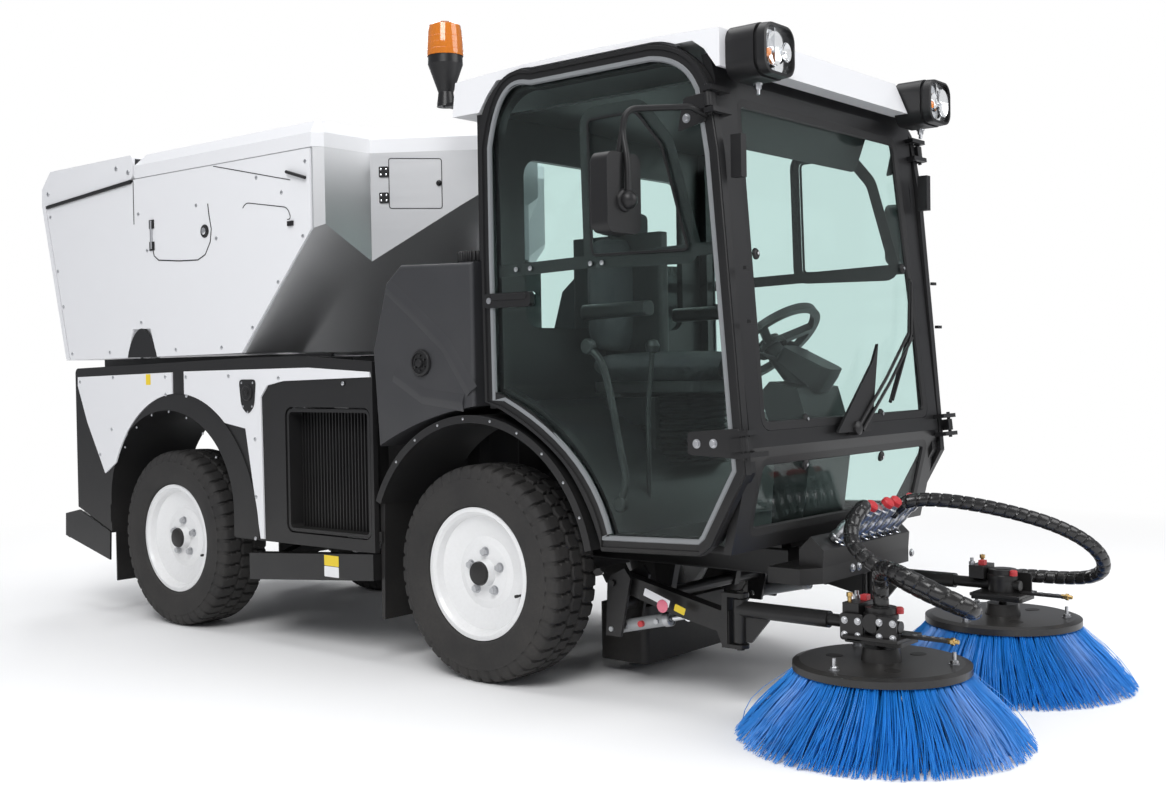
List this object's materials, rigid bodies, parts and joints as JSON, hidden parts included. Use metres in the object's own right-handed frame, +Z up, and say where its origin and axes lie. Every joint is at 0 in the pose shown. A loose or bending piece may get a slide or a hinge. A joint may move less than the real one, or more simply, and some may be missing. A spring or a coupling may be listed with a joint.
{
  "type": "compact street sweeper",
  "caption": "Compact ride-on street sweeper: glazed cab over steered front wheels, tipping waste hopper behind it, and two side brushes on lifting and swinging arms ahead.",
  "frame": {"origin": "centre of the bounding box in plan, on the ground under the wheels", "axes": "+X points forward, to the brushes; +Y points to the machine's left; +Z points up"},
  "size_m": [4.548, 1.87, 2.221],
  "materials": {
    "arm_black": "satin",
    "axle_iron": "matte",
    "beacon_amber": "gloss",
    "body_black": "matte",
    "bristle_blue": "satin",
    "cab_black": "satin",
    "console_grey": "matte",
    "cylinder_grey": "satin",
    "disc_black": "matte",
    "door_rubber": "matte",
    "duct_rubber": "matte",
    "engine_grey": "matte",
    "glass_green": "clear",
    "hopper_steel": "brushed",
    "hose_black": "matte",
    "lamp_clear": "gloss",
    "panel_white": "gloss",
    "rim": "satin",
    "rod_chrome": "polished",
    "seat_cloth": "matte",
    "steel_black": "satin",
    "tank_grey": "matte",
    "tyre": "matte",
    "wheel_black": "matte"
  },
  "bodies": {
    "chassis": {"axles": "axle_iron", "beacon": "beacon_amber", "cab_floor": "cab_black", "cab_frame": "cab_black", "cab_glass": "glass_green", "cab_roof": "panel_white", "chassis_frame": "steel_black", "console": "console_grey", "engine_block": "engine_grey", "fenders": "body_black", "front_carrier": "arm_black", "grilles": "body_black", "headlamps": "lamp_clear", "hose_left": "hose_black", "hose_right": "hose_black", "seat": "seat_cloth", "side_frames": "body_black", "side_panels": "panel_white", "suction_duct": "duct_rubber", "tanks": "tank_grey"},
    "knuckle_front_right": {"knuckle_front_right": "axle_iron"},
    "wheel_front_right": {"tyre_front_right": "tyre", "rim_front_right": "rim"},
    "knuckle_front_left": {"knuckle_front_left": "axle_iron"},
    "wheel_front_left": {"tyre_front_left": "tyre", "rim_front_left": "rim"},
    "knuckle_rear_right": {"knuckle_rear_right": "axle_iron"},
    "wheel_rear_right": {"tyre_rear_right": "tyre", "rim_rear_right": "rim"},
    "knuckle_rear_left": {"knuckle_rear_left": "axle_iron"},
    "wheel_rear_left": {"tyre_rear_left": "tyre", "rim_rear_left": "rim"},
    "steering_wheel": {"steering_wheel": "wheel_black"},
    "door_right": {"door_frame_right": "door_rubber", "door_glass_right": "glass_green"},
    "door_left": {"door_frame_left": "door_rubber", "door_glass_left": "glass_green"},
    "hopper": {"hopper_shell": "hopper_steel", "hopper_walls": "hopper_steel", "hopper_panels": "panel_white", "hopper_hood": "panel_white"},
    "tailgate": {"tailgate": "panel_white"},
    "ram_barrels": {"ram_barrels": "cylinder_grey"},
    "ram_rods": {"ram_rods": "rod_chrome"},
    "lift_arm_right": {"lift_arm_right": "arm_black"},
    "lift_barrel_right": {"lift_barrel_right": "cylinder_grey"},
    "lift_rod_right": {"lift_rod_right": "rod_chrome"},
    "swing_arm_right": {"swing_arm_right": "arm_black"},
    "brush_right": {"brush_disc_right": "disc_black", "bristles_right": "bristle_blue"},
    "lift_arm_left": {"lift_arm_left": "arm_black"},
    "lift_barrel_left": {"lift_barrel_left": "cylinder_grey"},
    "lift_rod_left": {"lift_rod_left": "rod_chrome"},
    "swing_arm_left": {"swing_arm_left": "arm_black"},
    "brush_left": {"brush_disc_left": "disc_black", "bristles_left": "bristle_blue"}
  },
  "joints": [
    {"name": "steer_front_right", "type": "hinge", "parent": "chassis", "child": "knuckle_front_right", "pos_m": [0.5, -0.445, 0.36], "axis": [0, 0, 1], "range_deg": [-25, 25]},
    {"name": "roll_front_right", "type": "hinge", "parent": "knuckle_front_right", "child": "wheel_front_right", "pos_m": [0.5, -0.522, 0.36], "axis": [0, 1, 0], "continuous": true},
    {"name": "steer_front_left", "type": "hinge", "parent": "chassis", "child": "knuckle_front_left", "pos_m": [0.5, 0.445, 0.36], "axis": [0, 0, 1], "range_deg": [-25, 25]},
    {"name": "roll_front_left", "type": "hinge", "parent": "knuckle_front_left", "child": "wheel_front_left", "pos_m": [0.5, 0.522, 0.36], "axis": [0, 1, 0], "continuous": true},
    {"name": "steer_rear_right", "type": "hinge", "parent": "chassis", "child": "knuckle_rear_right", "pos_m": [-1.22, -0.445, 0.36], "axis": [0, 0, 1], "range_deg": [-25, 25]},
    {"name": "roll_rear_right", "type": "hinge", "parent": "knuckle_rear_right", "child": "wheel_rear_right", "pos_m": [-1.22, -0.522, 0.36], "axis": [0, 1, 0], "continuous": true},
    {"name": "steer_rear_left", "type": "hinge", "parent": "chassis", "child": "knuckle_rear_left", "pos_m": [-1.22, 0.445, 0.36], "axis": [0, 0, 1], "range_deg": [-25, 25]},
    {"name": "roll_rear_left", "type": "hinge", "parent": "knuckle_rear_left", "child": "wheel_rear_left", "pos_m": [-1.22, 0.522, 0.36], "axis": [0, 1, 0], "continuous": true},
    {"name": "steering", "type": "hinge", "parent": "chassis", "child": "steering_wheel", "pos_m": [1.25952, 0, 1.09057], "axis": [-0.6402, 0, 0.7682], "range_deg": [-460, 460]},
    {"name": "door_right_hinge", "type": "hinge", "parent": "chassis", "child": "door_right", "pos_m": [1.47, -0.657, 1.775], "axis": [-0.1087, 0, 0.9941], "range_deg": [0, 75]},
    {"name": "door_left_hinge", "type": "hinge", "parent": "chassis", "child": "door_left", "pos_m": [1.47, 0.657, 1.775], "axis": [0.1087, 0, -0.9941], "range_deg": [0, 75]},
    {"name": "hopper_tip", "type": "hinge", "parent": "chassis", "child": "hopper", "pos_m": [-1.89, 0, 1.08], "axis": [0, -1, 0], "range_deg": [0, 50]},
    {"name": "tailgate_lift", "type": "hinge", "parent": "hopper", "child": "tailgate", "pos_m": [-1.47, 0, 1.915], "axis": [0, 1, 0], "range_deg": [0, 80]},
    {"name": "ram_swing", "type": "hinge", "parent": "chassis", "child": "ram_barrels", "pos_m": [-1.5, 0, 0.5], "axis": [0, -1, 0], "range_deg": [0, 28]},
    {"name": "ram_extend", "type": "slide", "parent": "ram_barrels", "child": "ram_rods", "axis": [0.4459, 0, 0.8951], "range_m": [0, 0.49]},
    {"name": "lift_right", "type": "hinge", "parent": "chassis", "child": "lift_arm_right", "pos_m": [0.955, -0.42, 0.352], "axis": [0, -1, 0], "range_deg": [0, 15], "deforming": ["hose_right"]},
    {"name": "lift_swing_right", "type": "hinge", "parent": "chassis", "child": "lift_barrel_right", "pos_m": [0.945, -0.42, 0.205], "axis": [0, -1, 0], "range_deg": [0, 14]},
    {"name": "lift_extend_right", "type": "slide", "parent": "lift_barrel_right", "child": "lift_rod_right", "axis": [0.9738, 0, 0.2272], "range_m": [0, 0.04]},
    {"name": "swing_right", "type": "hinge", "parent": "lift_arm_right", "child": "swing_arm_right", "pos_m": [1.4, -0.42, 0.3], "axis": [0, 0, -1], "range_deg": [0, 30], "deforming": ["hose_right"]},
    {"name": "spin_right", "type": "hinge", "parent": "swing_arm_right", "child": "brush_right", "pos_m": [1.86, -0.42, 0.2], "axis": [0, 0, 1], "continuous": true},
    {"name": "lift_left", "type": "hinge", "parent": "chassis", "child": "lift_arm_left", "pos_m": [0.955, 0.42, 0.352], "axis": [0, -1, 0], "range_deg": [0, 15], "deforming": ["hose_left"]},
    {"name": "lift_swing_left", "type": "hinge", "parent": "chassis", "child": "lift_barrel_left", "pos_m": [0.945, 0.42, 0.205], "axis": [0, -1, 0], "range_deg": [0, 14]},
    {"name": "lift_extend_left", "type": "slide", "parent": "lift_barrel_left", "child": "lift_rod_left", "axis": [0.9738, 0, 0.2272], "range_m": [0, 0.04]},
    {"name": "swing_left", "type": "hinge", "parent": "lift_arm_left", "child": "swing_arm_left", "pos_m": [1.4, 0.42, 0.3], "axis": [0, 0, 1], "range_deg": [0, 30], "deforming": ["hose_left"]},
    {"name": "spin_left", "type": "hinge", "parent": "swing_arm_left", "child": "brush_left", "pos_m": [1.86, 0.42, 0.2], "axis": [0, 0, 1], "continuous": true}
  ],
  "couplings": [
    {"joint": "steer_front_left", "follows": "steer_front_right", "ratio": 1},
    {"joint": "steer_rear_right", "follows": "steer_front_right", "ratio": -1},
    {"joint": "steer_rear_left", "follows": "steer_front_right", "ratio": -1},
    {"joint": "steering", "follows": "steer_front_right", "ratio": 18},
    {"joint": "ram_swing", "follows": "hopper_tip", "ratio": 0.472},
    {"joint": "ram_extend", "follows": "hopper_tip", "m_per_rad": 0.5372},
    {"joint": "lift_swing_right", "follows": "lift_right", "ratio": 0.8049},
    {"joint": "lift_extend_right", "follows": "lift_right", "m_per_rad": 0.1379},
    {"joint": "lift_swing_left", "follows": "lift_left", "ratio": 0.8049},
    {"joint": "lift_extend_left", "follows": "lift_left", "m_per_rad": 0.1379}
  ]
}
